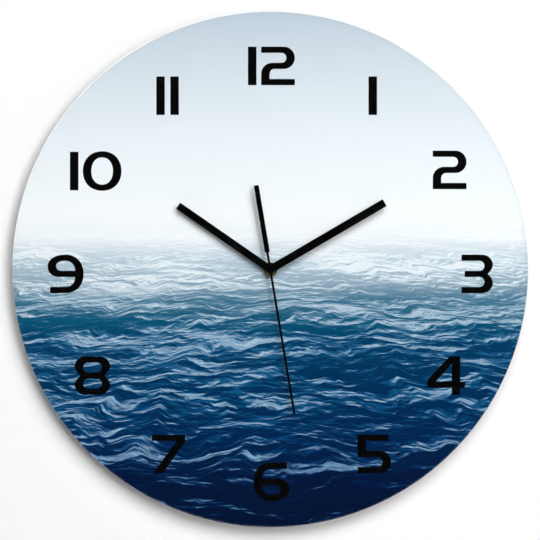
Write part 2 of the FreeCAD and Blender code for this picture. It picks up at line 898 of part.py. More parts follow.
def make_second_arbor():
    radius = second_arbor_diameter / 2
    body = pinion(
        second_pinion_teeth, third_module, second_pinion_phase,
        third_wheel_from - pinion_overlap, third_wheel_to + pinion_overlap,
    )
    return body.fuse(rod(radius, second_arbor_front_y, above_floor(bridge_to - pivot_end_gap)))


def make_second_wheel():
    body = wheel(second_wheel_teeth, second_module, second_pinion_phase, second_wheel_from, second_wheel_to)
    low_y = above_floor(second_wheel_from) - overrun
    return body.cut(rod(second_arbor_diameter / 2, low_y, above_floor(second_wheel_to) + overrun))


def make_rotor_pinion():
    bottom = rotor_boss_height - pivot_depth + pivot_end_gap
    pinion_from = intermediate_wheel_from - pinion_overlap
    pinion_to = intermediate_wheel_to + pinion_overlap
    body = pinion(rotor_pinion_teeth, rotor_module, rotor_phase, pinion_from, pinion_to, rotor_x, rotor_z)
    carrier = rod(magnet_bore_radius, above_floor(pinion_to), above_floor(magnet_to), rotor_x, rotor_z)
    return body.fuse([carrier, arbor(bottom, bridge_to - pivot_end_gap, rotor_x, rotor_z)])


def make_rotor_magnet():
    return ring(
        magnet_radius, magnet_bore_radius, above_floor(magnet_from), above_floor(magnet_to), rotor_x, rotor_z
    )


def make_setting_knob():
    """Knob, shaft and pinion in one moulding."""
    knob_back_y = -knob_depth
    knob_front_y = knob_back_y - knob_thickness
    pivot_low_y = above_floor(setting_boss_height - pivot_depth + pivot_end_gap)
    body = pinion(setting_teeth, setting_module, setting_phase, cannon_from, cannon_to, setting_x, setting_z)
    body = body.fuse(
        [
            rod(setting_pivot_radius, pivot_low_y, above_floor(cannon_from), setting_x, setting_z),
            rod(setting_shaft_radius, above_floor(cannon_to), knob_front_y, setting_x, setting_z),
            rod(knob_radius, knob_front_y, knob_back_y, setting_x, setting_z),
        ]
    )
    flutes = []
    for index in range(knob_flutes):
        x, z = polar(setting_x, setting_z, knob_radius, 360 * index / knob_flutes)
        flutes.append(rod(flute_radius, knob_front_y - overrun, knob_back_y + overrun, x, z))
    return body.cut(Part.makeCompound(flutes))


# Movement case


def pivot_boss(height, x, z):
    return rod(boss_radius, floor_y, above_floor(height), x, z)


def pivot_hole(height, x, z, radius=arbor_radius):
    top_y = above_floor(height)
    return rod(radius + pivot_clearance, top_y - pivot_depth, top_y + overrun, x, z)


def coil_post_places():
    reach = (core_length - stator_arm_height) / 2
    return [(coil_x, coil_z - reach), (coil_x, coil_z + reach)]


def board_peg_places():
    middle_z = (board_z0 + board_z1) / 2
    return [(-inner_x + board_side_gap + board_peg_inset, middle_z), (coil_x - board_peg_inset, middle_z)]


def case_room_block(y0, y1, inset, z0, z1):
    """A block as wide as the case less an inset on each side, its edges along Y rounded to match."""
    half = outer_x - inset
    room = block(-half, half, y0, y1, z0, z1)
    radius = max(0, case_corner - inset)
    if radius > join_gap:
        room = room.makeFillet(radius, [edge for edge in room.Edges if abs(edge.tangentAt(0).y) > circle_share])
    return room


def case_block():
    """The whole case as one rounded block, before the front and the cover are cut from it."""
    whole = case_room_block(case_front_y, 0, 0, outer_bottom, outer_top)
    front_rim = [edge for edge in whole.Edges if edge.BoundBox.YMax < case_front_y + join_gap]
    back_rim = [edge for edge in whole.Edges if edge.BoundBox.YMin > -join_gap]
    return whole.makeFillet(case_edge_round, front_rim + back_rim)


def make_case_front():
    case = case_block()
    upper = case_room_block(floor_y, overrun, case_wall, partition_top, inner_top)
    bay = case_room_block(floor_y, overrun, case_wall, bay_bottom, partition_bottom)
    seat = block(-outer_x - overrun, outer_x + overrun, -cover_thickness, overrun, partition_top, outer_top + overrun)
    case = case.cut([upper, bay, seat])
    top_y = above_floor(bridge_from)
    places = [left_post, right_post, low_post]
    posts = [rod(bridge_post_radius, floor_y, top_y, x, z) for x, z in places]
    posts += [rod(coil_post_radius, floor_y, above_floor(core_from), x, z) for x, z in coil_post_places()]
    for x, z in board_peg_places():
        posts.append(rod(coil_post_radius, floor_y, above_floor(board_from), x, z))
        posts.append(rod(board_peg_radius, above_floor(board_from), above_floor(board_to) + peg_stand, x, z))
    posts.append(pivot_boss(low_boss_height, third_x, third_z))
    posts.append(pivot_boss(low_boss_height, intermediate_x, intermediate_z))
    posts.append(pivot_boss(rotor_boss_height, rotor_x, rotor_z))
    posts.append(rod(setting_shaft_radius, floor_y, above_floor(setting_boss_height), setting_x, setting_z))
    posts.append(rod(minute_post_radius, floor_y, above_floor(cannon_to), minute_x, minute_z))
    case = case.fuse(posts)
    holes = [
        pivot_hole(low_boss_height, third_x, third_z),
        pivot_hole(low_boss_height, intermediate_x, intermediate_z),
        pivot_hole(rotor_boss_height, rotor_x, rotor_z),
        pivot_hole(setting_boss_height, setting_x, setting_z, setting_pivot_radius),
        rod(bush_diameter / 2, case_front_y - overrun, floor_y + overrun),
        rod(bush_flange_diameter / 2, floor_y - bush_flange_thickness, floor_y + overrun / 2),
    ]
    holes += [rod(screw_shank_radius, top_y - screw_length, top_y + overrun, x, z) for x, z in places]
    core_y = above_floor(core_from)
    holes += [rod(screw_shank_radius, core_y - screw_length, core_y + overrun, x, z) for x, z in coil_post_places()]
    for side in (-1, 1):
        outside = side * inner_x
        inside = side * (inner_x - contact_thickness - notch_clearance)
        holes.append(
            block(
                min(inside, outside), max(inside, outside), riser_y0 - notch_clearance,
                riser_y1 + notch_clearance, partition_bottom - case_corner, partition_top + case_corner,
            )
        )
    return case.cut(holes)


def make_case_back():
    """Rear cover: a plate over the train, a locating lip and the well of the setting knob."""
    bottom = partition_top + cover_gap
    plate = case_block().common(block(-outer_x, outer_x, -cover_thickness, 0, bottom, outer_top))
    lip_y0 = -cover_thickness - lip_depth
    lip_inset = case_wall + cover_gap
    core_inset = lip_inset + lip_thickness
    lip = case_room_block(lip_y0, -cover_thickness, lip_inset, outer_bottom, outer_top - lip_inset)
    lip_core = case_room_block(lip_y0 - overrun, overrun, core_inset, outer_bottom - overrun, outer_top - core_inset)
    below = block(-outer_x, outer_x, lip_y0 - overrun, overrun, outer_bottom - overrun, bottom + case_corner)
    lip = lip.cut([lip_core, below])
    knob_front_y = -knob_depth - knob_thickness
    well_floor_back_y = knob_front_y - knob_floor_gap
    well_front_y = well_floor_back_y - well_floor
    well = rod(well_outer_radius, well_front_y, -cover_thickness, setting_x, setting_z)
    hollow = rod(well_radius, well_floor_back_y, overrun, setting_x, setting_z)
    shaft_hole = rod(setting_shaft_radius + tube_clearance, well_front_y - overrun, overrun, setting_x, setting_z)
    return plate.fuse([lip, well]).cut([hollow, shaft_hole])


def make_train_bridge():
    nose_x = rotor_x + bridge_nose
    points = [
        (left_post[0] - bridge_margin, left_post[1] + bridge_margin),
        (right_post[0] + bridge_margin, right_post[1] + bridge_margin),
        (nose_x, rotor_z + bridge_nose),
        (nose_x, rotor_z - bridge_nose),
        (low_post[0] + bridge_margin, low_post[1] - bridge_margin),
        (low_post[0] - bridge_margin, low_post[1] - bridge_margin),
        (left_post[0] - bridge_margin, left_post[1] - bridge_margin),
    ]
    low_y = above_floor(bridge_from)
    high_y = above_floor(bridge_to)
    plate = prism(polygon(points), low_y, high_y)
    pivots = [(third_x, third_z), (intermediate_x, intermediate_z), (rotor_x, rotor_z)]
    radius = arbor_radius + pivot_clearance
    holes = [rod(radius, low_y - overrun, high_y + overrun, x, z) for x, z in pivots]
    holes.append(rod(second_arbor_diameter / 2 + pivot_clearance, low_y - overrun, high_y + overrun))
    screw_hole = screw_shank_radius + pivot_clearance
    places = (left_post, right_post, low_post)
    holes += [rod(screw_hole, low_y - overrun, high_y + overrun, x, z) for x, z in places]
    return plate.cut(holes)


def make_bridge_screws():
    length = screw_length + bridge_thickness - pivot_end_gap
    screws = [
        slotted_screw(x, z, bridge_to, screw_head_radius, screw_head_height, screw_shank_radius, length)
        for x, z in (left_post, right_post, low_post)
    ]
    return Part.makeCompound(screws)


# Stepping motor


def make_stator_plate():
    """A flat C of soft iron: the bar holds the rotor hole, its two arms lie on the coil core's ends."""
    bar_x0 = rotor_x - stator_bar_width / 2
    bar_x1 = rotor_x + stator_bar_width / 2
    arm_x1 = coil_x + core_width / 2 + arm_overhang
    bottom = coil_z - core_length / 2
    top = coil_z + core_length / 2
    points = [
        (bar_x0, bottom), (arm_x1, bottom), (arm_x1, bottom + stator_arm_height), (bar_x1, bottom + stator_arm_height),
        (bar_x1, top - stator_arm_height), (arm_x1, top - stator_arm_height), (arm_x1, top), (bar_x0, top),
    ]
    low_y = above_floor(stator_from)
    high_y = above_floor(stator_to)
    holes = [rod(magnet_radius + stator_hole_gap, low_y - overrun, high_y + overrun, rotor_x, rotor_z)]
    radius = screw_shank_radius + pivot_clearance
    holes += [rod(radius, low_y - overrun, high_y + overrun, x, z) for x, z in coil_post_places()]
    return prism(polygon(points), low_y, high_y).cut(holes)


def make_coil_core():
    low_y = above_floor(core_from)
    high_y = above_floor(stator_from)
    half_length = core_length / 2
    half_width = core_width / 2
    bar = block(coil_x - half_width, coil_x + half_width, low_y, high_y, coil_z - half_length, coil_z + half_length)
    radius = screw_shank_radius + pivot_clearance
    return bar.cut([rod(radius, low_y - overrun, high_y + overrun, x, z) for x, z in coil_post_places()])


def coil_tube(radius, z0, z1):
    """A cylinder along Z about the middle of the coil core."""
    core_y = above_floor(core_from) + core_thickness / 2
    return Part.makeCylinder(radius, z1 - z0, Vector(coil_x, core_y, z0), Vector(0, 0, 1))


def make_coil_bobbin():
    z0 = coil_z - coil_length / 2
    z1 = coil_z + coil_length / 2
    body = coil_tube(bobbin_tube_radius, z0, z1)
    body = body.fuse(
        [
            coil_tube(bobbin_flange_radius, z0, z0 + bobbin_flange_thickness),
            coil_tube(bobbin_flange_radius, z1 - bobbin_flange_thickness, z1),
        ]
    )
    half = core_width / 2 + bobbin_clearance
    low_y = above_floor(core_from) - bobbin_clearance
    high_y = above_floor(stator_from) + bobbin_clearance
    return body.cut(block(coil_x - half, coil_x + half, low_y, high_y, z0 - overrun, z1 + overrun))


def make_coil_winding():
    z0 = coil_z - coil_length / 2 + bobbin_flange_thickness
    z1 = coil_z + coil_length / 2 - bobbin_flange_thickness
    return coil_tube(bobbin_flange_radius - winding_inset, z0, z1).cut(
        coil_tube(bobbin_tube_radius, z0 - overrun, z1 + overrun)
    )


def make_stator_screws():
    length = screw_length + stator_thickness + core_thickness - pivot_end_gap
    screws = [
        slotted_screw(x, z, stator_to, screw_head_radius, screw_head_height, screw_shank_radius, length)
        for x, z in coil_post_places()
    ]
    return Part.makeCompound(screws)


# Circuit board


def make_circuit_board():
    low_y = above_floor(board_from)
    high_y = above_floor(board_to)
    board = block(-inner_x + board_side_gap, inner_x - board_side_gap, low_y, high_y, board_z0, board_z1)
    radius = board_peg_radius + peg_clearance
    return board.cut([rod(radius, low_y - overrun, high_y + overrun, x, z) for x, z in board_peg_places()])


def board_place(share):
    """A place along the board's middle line, as a share of the way between its two pegs."""
    (left_x, z), (right_x, _) = board_peg_places()
    return left_x + (right_x - left_x) * share, z


chip_place_share = 0.35
crystal_place_share = 0.65


def make_chip_cover():
    x, z = board_place(chip_place_share)
    low_y = above_floor(board_to)
    blob = rod(chip_radius, low_y, low_y + chip_height, x, z)
    return blob.makeFillet(chip_round, rims(blob, y_from=low_y + join_gap))


def make_quartz_crystal():
    x, z = board_place(crystal_place_share)
    board_y = above_floor(board_to)
    axis_y = board_y + crystal_lift + crystal_radius
    can = Part.makeCylinder(crystal_radius, crystal_length, Vector(x, axis_y, z), Vector(1, 0, 0))
    half = crystal_lead_width / 2
    leads = []
    for side in (-1, 1):
        lead_z = z + side * crystal_radius / 2
        leads.append(
            block(x + crystal_length, x + crystal_length + crystal_lead, axis_y - half, axis_y + half,
                  lead_z - half, lead_z + half)
        )
        leads.append(
            block(x + crystal_length + crystal_lead - crystal_lead_width, x + crystal_length + crystal_lead,
                  board_y, axis_y, lead_z - half, lead_z + half)
        )
    return can.fuse(leads)


# Contacts and battery


def contact_strip(side):
    """A plate at one end of the battery bay, a strip up the case wall and a tab on the circuit board."""
    wall = side * inner_x
    face = side * (inner_x - contact_thickness)
    x0, x1 = min(wall, face), max(wall, face)
    plate_y0 = battery_y - contact_depth / 2
    plate_z0 = battery_z - contact_height / 2
    plate_z1 = battery_z + contact_height / 2
    board_y = above_floor(board_to)
    tab_z1 = board_z0 + riser_width
    plate = block(x0, x1, plate_y0, riser_y1, plate_z0, plate_z1)
    riser = block(x0, x1, riser_y0, riser_y1, plate_z1, tab_z1)
    tab_end = side * (inner_x - contact_tab_length)
    tab = block(min(wall, tab_end), max(wall, tab_end), board_y, board_y + contact_thickness, board_z0, tab_z1)
    return plate.fuse([riser, tab])


def arc_from(start, direction, end):
    """The arc that leaves start along direction and reaches end."""
    chord = end - start
    if direction.cross(chord).Length < join_gap * chord.Length:
        return Part.LineSegment(start, end).toShape()
    middle = (start + end) / 2
    half_angle = direction.getAngle(chord)
    side = direction - chord * (direction.dot(chord) / chord.dot(chord))
    side.normalize()
    crown = middle + side * (chord.Length / 2 * math.tan(half_angle / 2))
    return Part.Arc(start, crown, end).toShape()


def biarc(start, start_way, end, end_way):
    """Two arcs from start to end that leave and arrive along the given unit directions."""
    chord = end - start
    ways = start_way + end_way
    spread = 2 * (1 - start_way.dot(end_way))
    along = chord.dot(ways)
    reach = (math.sqrt(along * along + spread * chord.dot(chord)) - along) / spread
    joint = (start + start_way * reach + end - end_way * reach) / 2
    joint_way = (end - end_way * reach - start - start_way * reach).normalize()
    return [arc_from(start, start_way, joint), arc_from(joint, joint_way, end)]


def spring_point(turn):
    """The middle of the spring's wire after some turns, and the wire's direction there."""
    share = turn / spring_turns
    radius = spring_base_radius + (spring_tip_radius - spring_base_radius) * share
    angle = 2 * math.pi * turn
    base_x = -inner_x + contact_thickness + spring_wire / 2
    rise = spring_length - spring_wire
    place = Vector(base_x + rise * share, battery_y + radius * math.cos(angle), battery_z + radius * math.sin(angle))
    shrink = (spring_tip_radius - spring_base_radius) / spring_turns
    way = Vector(
        rise / spring_turns,
        shrink * math.cos(angle) - 2 * math.pi * radius * math.sin(angle),
        shrink * math.sin(angle) + 2 * math.pi * radius * math.cos(angle),
    )
    return place, way.normalize()


def spring_gap(steps):
    """The least gap between the spring's turns, measured on points half a turn and more apart."""
    points_per_step = 12
    count = steps * points_per_step
    half_turn = count / spring_turns / 2
    places = [spring_point(spring_turns * index / count)[0] for index in range(count + 1)]
    gaps = [
        (place - other).Length
        for index, place in enumerate(places)
        for other in places[index + math.ceil(half_turn):]
    ]
    return min(gaps) - spring_wire


def make_battery_spring():
    """A conical spring, wide on the contact and narrow at the battery."""
    steps = round(spring_turns * 4)
    knots = [spring_point(spring_turns * step / steps) for step in range(steps + 1)]
    edges = []
    for (start, start_way), (end, end_way) in zip(knots, knots[1:]):
        edges += biarc(start, start_way, end, end_way)
    path = Part.Wire(edges)
    place, way = knots[0]
    section = Part.Wire(Part.makeCircle(spring_wire / 2, place, way))
    print("battery_spring: least gap between turns", round(spring_gap(steps), 3))
    return path.makePipeShell([section], True, False)


def battery_rod(radius, x0, x1):
    return Part.makeCylinder(radius, x1 - x0, Vector(x0, battery_y, battery_z), Vector(1, 0, 0))


def make_battery_cell():
    can_end = battery_x1 - terminal_length
    can = battery_rod(battery_diameter / 2 - sleeve_thickness, battery_x0, can_end)
    return can.fuse(battery_rod(terminal_diameter / 2, can_end, battery_x1))


def make_battery_sleeve():
    x0 = battery_x0 + sleeve_margin
    x1 = battery_x1 - terminal_length - sleeve_margin
    outer = battery_diameter / 2
    return battery_rod(outer, x0, x1).cut(battery_rod(outer - sleeve_thickness, x0 - overrun, x1 + overrun))


# Hanger


def make_hanger_plate():
    """A steel strip clamped under the dial, bent back over the case to the wall, with a keyhole."""
    inner_corner = hanger_bend
    outer_corner = hanger_bend + hanger_thickness
    step_z0 = outer_top + hanger_bend + hanger_gap
    step_z1 = step_z0 + hanger_thickness
    keyhole_z = step_z1 + keyhole_rise
    slot_z = keyhole_z + keyhole_slot_length
    top = slot_z + keyhole_slot_width / 2 + keyhole_margin
    back_y = -hanger_wall_gap
    profile = [
        (hanger_front_y, -hanger_foot, 0, 0),
        (case_front_y, -hanger_foot, 0, 0),
        (case_front_y, step_z0, inner_corner, inner_corner),
        (back_y, step_z0, outer_corner, outer_corner),
        (back_y, top, 0, 0),
        (back_y - hanger_thickness, top, 0, 0),
        (back_y - hanger_thickness, step_z1, inner_corner, inner_corner),
        (hanger_front_y, step_z1, outer_corner, outer_corner),
    ]
    half = hanger_width / 2
    strip = prism(soft_outline(profile, circle_share), -half, half)
    strip.rotate(Vector(0, 0, 0), Vector(0, 0, 1), 90)
    front = [
        (-half, -hanger_foot, hanger_foot_round, hanger_foot_round),
        (half, -hanger_foot, hanger_foot_round, hanger_foot_round),
        (half, top, hanger_head_round, hanger_head_round),
        (-half, top, hanger_head_round, hanger_head_round),
    ]
    strip = strip.common(prism(soft_outline(front, circle_share), hanger_front_y - overrun, overrun))
    slot_half = keyhole_slot_width / 2
    head_y0 = back_y - hanger_thickness - overrun
    cuts = [
        rod(bush_diameter / 2 + fixing_clearance, hanger_front_y - overrun, case_front_y + overrun),
        rod(keyhole_radius, head_y0, overrun, 0, keyhole_z),
        block(-slot_half, slot_half, head_y0, overrun, keyhole_z, slot_z),
        rod(slot_half, head_y0, overrun, 0, slot_z),
    ]
    return strip.cut(cuts)


def main():
    os.makedirs("parts", exist_ok=True)
    figures = numeral_solids()
    nodes = {
        "glass_disc": make_glass_disc(),
        "picture_print": make_picture_print(figures),
        "hour_numerals": Part.makeCompound(figures),
        "rubber_washer": make_rubber_washer(),
        "hanger_plate": make_hanger_plate(),
        "threaded_bush": make_threaded_bush(),
        "nut_washer": make_nut_washer(),
        "fixing_nut": make_fixing_nut(),
        "hour_hand": make_hour_hand(),
        "minute_hand": make_minute_hand(),
        "second_hand": make_second_hand(),
        "second_hand_hub": make_second_hand_hub(),
        "hour_wheel": make_hour_wheel(),
        "cannon_pinion": make_cannon_pinion(),
        "centre_wheel": make_centre_wheel(),
        "minute_wheel": make_minute_wheel(),
        "third_wheel": make_third_wheel(),
        "second_arbor": make_second_arbor(),
        "second_wheel": make_second_wheel(),
        "intermediate_wheel": make_intermediate_wheel(),
        "rotor_pinion": make_rotor_pinion(),
        "rotor_magnet": make_rotor_magnet(),
        "setting_knob": make_setting_knob(),
        "case_front": make_case_front(),
        "case_back": make_case_back(),
        "train_bridge": make_train_bridge(),
        "bridge_screws": make_bridge_screws(),
        "stator_plate": make_stator_plate(),
        "coil_core": make_coil_core(),
        "coil_bobbin": make_coil_bobbin(),
        "coil_winding": make_coil_winding(),
        "stator_screws": make_stator_screws(),
        "circuit_board": make_circuit_board(),
        "chip_cover": make_chip_cover(),
        "quartz_crystal": make_quartz_crystal(),
        "positive_contact": contact_strip(1),
        "negative_contact": contact_strip(-1),
        "battery_spring": make_battery_spring(),
        "battery_cell": make_battery_cell(),
        "battery_sleeve": make_battery_sleeve(),
    }
    for name, shape in nodes.items():
        shape.exportStep(f"parts/{name}.step")


main()
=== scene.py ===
"""Looks of a round glass wall clock with a printed sea picture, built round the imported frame."""

import math

import bmesh
import bpy
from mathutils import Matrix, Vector


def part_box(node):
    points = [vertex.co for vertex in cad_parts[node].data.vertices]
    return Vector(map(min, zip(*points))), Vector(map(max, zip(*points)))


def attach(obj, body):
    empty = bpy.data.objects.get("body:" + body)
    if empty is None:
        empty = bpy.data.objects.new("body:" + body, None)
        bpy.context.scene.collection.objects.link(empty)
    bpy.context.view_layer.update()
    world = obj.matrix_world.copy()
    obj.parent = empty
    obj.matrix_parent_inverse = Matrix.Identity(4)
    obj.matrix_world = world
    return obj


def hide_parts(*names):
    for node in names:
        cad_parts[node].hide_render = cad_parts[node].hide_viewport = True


MM = 0.001
TURN = 2 * math.pi
WHITE = (1, 1, 1, 1)

# Camera: a long lens straight in front of the dial
IMAGE_WIDTH_PX = 540
DIAL_WIDTH_PX = 516
DIAL_CENTRE_PX = (270.25, 269.5)
LENS_MM = 200
SENSOR_MM = 36

# Stage
WALL_GAP = 0.15 * MM
WALL_WIDTH = 5.0
WALL_TOP = 2.4
WALL_WHITE = (0.96, 0.96, 0.96, 1)
FLOOR_LEVEL = -1.4
FLOOR_DEPTH = 3.2
FLOOR_DULL = (0.52, 0.52, 0.515, 1)
FLOOR_PALE = (0.56, 0.56, 0.555, 1)
FLOOR_GLOW = 0.85

# Lamps, aimed at the point where the hand axis meets the wall: name, place, width and height in metres,
# power in watts, and whether they light surfaces, show only in mirrors, or both
LAMPS = (
    ("near", (0.69, -2.4, 0.04), (0.48, 1.08), 18.6, "surfaces"),
    ("high", (0.40, -2.4, 1.02), (2.0, 1.25), 55.5, "surfaces"),
    ("glint", (1.35, -1.9, 1.55), (0.8, 0.8), 22, "mirrors"),
    ("back", (-0.9, 2.1, 1.1), (1.8, 1.8), 60, "all"),
)

# World: the even light on surfaces, and how a mirror sees it dim from the sides to behind the camera
AMBIENT = 0.03
ROOM_BEHIND_CAMERA = 0.02
DARK_CONE_EDGE = 0.35
DARK_CONE_CORE = 0.96

# Glass pane: its form, and the numbers of its three materials
GLASS_SEGMENTS = 360
GLASS_BACK_GAP = 0.02 * MM
GLASS_FRONT_ROUND = 1.2 * MM
GLASS_BACK_ROUND = 0.3 * MM
GLASS_RIM_STEPS = 5
GLASS_HOLE_PLAY = 0.2 * MM
GLASS_HOLE_ARRIS = 0.25 * MM
GLASS_FACE, GLASS_EDGE, GLASS_LAND = 0, 1, 2

# Glass colours: the body, what it lets through to lamps, and the same for light that leaves or enters
# by the rim; then the paler and the deeper tint of the rim's rounds and of its flat land
GLASS_IOR = 1.5
GLASS_BODY = (0.996, 0.999, 0.999, 1)
GLASS_PASSED = (0.994, 0.997, 0.997, 1)
RIM_LEAVING = (0.08, 0.10, 0.09, 1)
RIM_ENTERING = (0.90, 0.91, 0.905, 1)
ROUND_TINTS = ((0.975, 0.985, 0.98, 1), (0.94, 0.96, 0.95, 1))
LAND_TINTS = ((0.52, 0.76, 0.68, 1), (0.38, 0.64, 0.55, 1))

# Softened sheet edges of the hands
HAND_EDGES = {"hour_hand": 0.09 * MM, "minute_hand": 0.09 * MM, "second_hand": 0.07 * MM}
EDGE_SEGMENTS = 2
EDGE_ANGLE = math.radians(35)
FLAT_ANGLE = math.radians(0.6)
WELD_DISTANCE = 0.001 * MM


def srgb(red, green, blue):
    """A colour given in 0 to 255 steps, as the linear values that a shader takes."""
    def linear(value):
        share = value / 255
        return share / 12.92 if share <= 0.04045 else ((share + 0.055) / 1.055) ** 2.4
    return linear(red), linear(green), linear(blue), 1.0


class Graph:
    """Short calls for building a node tree."""

    def __init__(self, tree):
        self.tree = tree

    def node(self, kind, inputs=(), **settings):
        made = self.tree.nodes.new(kind)
        for name, value in settings.items():
            setattr(made, name, value)
        for key, value in dict(inputs).items():
            self.feed(made.inputs[key], value)
        return made

    def feed(self, socket, value):
        if isinstance(value, bpy.types.NodeSocket):
            self.tree.links.new(value, socket)
        else:
            socket.default_value = value

    def math(self, operation, *values):
        return self.node("ShaderNodeMath", dict(enumerate(values)), operation=operation).outputs[0]

    def add(self, first, second):
        return self.math("ADD", first, second)

    def sub(self, first, second):
        return self.math("SUBTRACT", first, second)

    def mul(self, first, second):
        return self.math("MULTIPLY", first, second)

    def fit(self, value, low, high, to_low=0.0, to_high=1.0):
        """Eases the value's range low to high over to the range to_low to to_high."""
        inputs = {"Value": value, "From Min": low, "From Max": high, "To Min": to_low, "To Max": to_high}
        made = self.node("ShaderNodeMapRange", inputs, interpolation_type="SMOOTHSTEP", clamp=True)
        return made.outputs[0]

    def mix(self, share, first, second):
        """The first colour where the share is 0, the second where it is 1."""
        return self.node("ShaderNodeMix", {0: share, 6: first, 7: second}, data_type="RGBA").outputs[2]

    def choose(self, share, first, second):
        """The first shader where the share is 0, the second where it is 1."""
        return self.node("ShaderNodeMixShader", {0: share, 1: first, 2: second}).outputs[0]

    def xyz(self, x, y, z):
        return self.node("ShaderNodeCombineXYZ", {0: x, 1: y, 2: z}).outputs[0]

    def split(self, vector):
        return self.node("ShaderNodeSeparateXYZ", {0: vector}).outputs

    def place(self):
        return self.node("ShaderNodeTexCoord").outputs["Object"]

    def backfacing(self):
        return self.node("ShaderNodeNewGeometry").outputs["Backfacing"]

    def path(self):
        return self.node("ShaderNodeLightPath").outputs

    def scaled(self, vector, x, y, z):
        made = self.node("ShaderNodeVectorMath", {0: vector, 1: (x, y, z)}, operation="MULTIPLY")
        return made.outputs[0]

    def noise(self, vector, scale=1.0, detail=2.0, rough=0.5):
        inputs = {"Vector": vector, "Scale": scale, "Detail": detail, "Roughness": rough}
        return self.node("ShaderNodeTexNoise", inputs).outputs[0]

    def cells(self, vector, scale):
        return self.node("ShaderNodeTexVoronoi", {"Vector": vector, "Scale": scale}).outputs

    def ramp(self, share, stops):
        made = self.node("ShaderNodeValToRGB", {0: share})
        elements = made.color_ramp.elements
        while len(elements) < len(stops):
            elements.new(0.5)
        for element, (position, colour) in zip(elements, stops):
            element.position = position
            element.color = colour
        return made.outputs[0]

    def bump(self, height, strength, distance):
        inputs = {"Height": height, "Strength": strength, "Distance": distance}
        return self.node("ShaderNodeBump", inputs).outputs[0]

    def principled(self, **sockets):
        inputs = {name.replace("_", " "): value for name, value in sockets.items()}
        return self.node("ShaderNodeBsdfPrincipled", inputs).outputs[0]

    def surface(self, shader):
        self.node("ShaderNodeOutputMaterial", {"Surface": shader})


def material(name):
    """A new empty material and the graph to fill it with."""
    made = bpy.data.materials.new(name)
    made.use_nodes = True
    made.node_tree.nodes.clear()
    return made, Graph(made.node_tree)


def shaded(colour, factor, lift=0.0):
    """A colour made darker or lighter by a factor, and lifted by the same step in each channel."""
    return tuple(min(1.0, value * factor + lift) for value in colour[:3]) + (1,)


# Materials of the moulded, printed and rubber pieces

INK_TONES = (srgb(0, 0, 0), srgb(5, 5, 6))
HAND_TONES = (srgb(1, 1, 1), srgb(8, 8, 9))
RUBBER_TONES = (srgb(19, 19, 20), srgb(46, 45, 44))


def moulded(name, colour, rough=0.42, grain=1400.0, grain_depth=0.02, tone=0.08):
    """Moulded plastic: a spark textured skin, and slow changes of tone and gloss."""
    made, g = material(name)
    place = g.place()
    slow = g.noise(place, scale=90.0, detail=3.0)
    fine = g.noise(place, scale=grain, detail=2.0, rough=0.6)
    pits = g.cells(place, grain * 0.9)["Distance"]
    dark = shaded(colour, 1 - tone)
    light = shaded(colour, 1 + tone, lift=0.1 * tone)
    skin = g.mix(g.fit(g.add(g.mul(slow, 0.6), g.mul(fine, 0.4)), 0.35, 0.65), dark, light)
    roughness = g.fit(g.add(slow, g.mul(fine, 0.5)), 0.5, 1.0, rough - 0.07, rough + 0.09)
    height = g.add(fine, g.mul(pits, 0.7))
    normal = g.bump(height, 0.35, grain_depth * MM)
    g.surface(g.principled(Base_Color=skin, Roughness=roughness, Normal=normal, IOR=1.5))
    return made


def ink(name):
    """Screen printed ink: near black, with the faint orange peel of a thick wet layer."""
    made, g = material(name)
    place = g.place()
    slow = g.noise(place, scale=220.0, detail=3.0)
    colour = g.mix(g.fit(slow, 0.35, 0.65), *INK_TONES)
    roughness = g.fit(slow, 0.3, 0.7, 0.42, 0.56)
    normal = g.bump(g.noise(place, scale=1500.0, detail=1.0), 0.15, 0.01 * MM)
    g.surface(g.principled(Base_Color=colour, Roughness=roughness, Normal=normal, Specular_IOR_Level=0.01))
    return made


def painted_hand(name):
    """Stamped sheet with satin black paint: a fine grain, and slow changes of tone and gloss."""
    made, g = material(name)
    place = g.place()
    slow = g.noise(place, scale=160.0, detail=4.0)
    grain = g.noise(place, scale=2600.0, detail=2.0)
    colour = g.mix(g.fit(slow, 0.35, 0.7), *HAND_TONES)
    roughness = g.fit(g.add(slow, g.mul(grain, 0.3)), 0.4, 0.9, 0.28, 0.40)
    normal = g.bump(g.add(grain, g.mul(slow, 0.4)), 0.2, 0.01 * MM)
    g.surface(g.principled(Base_Color=colour, Roughness=roughness, Normal=normal, Specular_IOR_Level=0.06))
    return made


def rubber(name):
    """Cut rubber sheet: matt, slightly bloomed and finely pitted."""
    made, g = material(name)
    place = g.place()
    bloom = g.noise(place, scale=140.0, detail=4.0, rough=0.6)
    pits = g.noise(place, scale=2400.0, detail=3.0, rough=0.7)
    colour = g.mix(g.fit(bloom, 0.4, 0.75), *RUBBER_TONES)
    roughness = g.fit(pits, 0.3, 0.7, 0.72, 0.9)
    normal = g.bump(pits, 0.5, 0.03 * MM)
    g.surface(g.principled(Base_Color=colour, Roughness=roughness, Normal=normal))
    return made


# Materials of the metal pieces

DULLED = 0.78
RING_PITCH = 0.09 * MM


def metal(name, colour, rough, marks, depth=0.004):
    """Metal whose fine tool marks come from the given height, with slow dulled patches."""
    made, g = material(name)
    place = g.place()
    height = marks(g, place)
    slow = g.noise(place, scale=120.0, detail=4.0, rough=0.6)
    dull = shaded(colour, DULLED)
    tint = g.mix(g.fit(slow, 0.42, 0.72), colour, dull)
    tint = g.mix(g.fit(height, 0.2, 0.9, 0.0, 0.25), tint, dull)
    blotches = g.add(g.mul(slow, 0.6), g.mul(height, 0.4))
    roughness = g.fit(blotches, 0.25, 0.75, rough - 0.06, rough + 0.10)
    normal = g.bump(height, 0.25, depth * MM)
    g.surface(g.principled(Base_Color=tint, Metallic=1.0, Roughness=roughness, Normal=normal))
    return made


